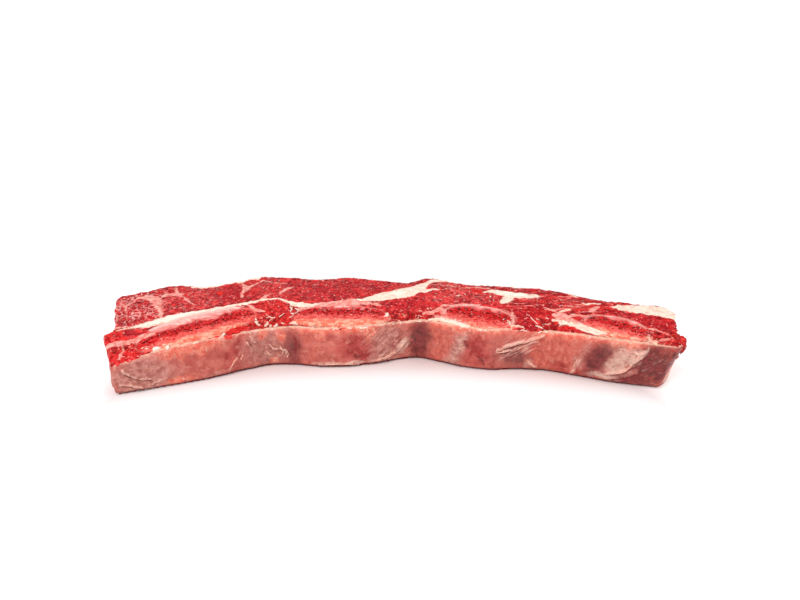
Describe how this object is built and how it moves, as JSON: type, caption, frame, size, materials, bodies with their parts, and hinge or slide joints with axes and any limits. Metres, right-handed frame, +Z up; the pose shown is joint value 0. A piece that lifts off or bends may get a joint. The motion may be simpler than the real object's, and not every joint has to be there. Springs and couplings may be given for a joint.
{
  "type": "raw beef short rib strip",
  "caption": "Raw beef short ribs, flanken cut: a curved strip of marbled meat with rib bones crossing it, their red marrow, seams of fat and a pale inner membrane, lying flat",
  "frame": {"origin": "middle of the strip's bounding box in plan, on the surface that it lies on", "axes": "+X along the strip, with the picture's left end at -X; +Y from the inner, membrane side of the ribs to the outer side; +Z up, out of the upper cut face"},
  "size_m": [0.3002, 0.0958, 0.0247],
  "materials": {
    "meat": "moist raw red meat",
    "bone": "damp sawn bone",
    "marrow": "wet spongy red marrow",
    "fat": "soft cream fat"
  },
  "bodies": {
    "root": {"meat": "meat", "rib_bone_1": "bone", "rib_bone_2": "bone", "rib_bone_3": "bone", "rib_bone_4": "bone", "marrow_1": "marrow", "marrow_2": "marrow", "marrow_3": "marrow", "marrow_4": "marrow", "fat_seam_ribs": "fat", "fat_seam_middle": "fat", "fat_seam_outer": "fat", "fat_cap": "fat"}
  },
  "joints": []
}
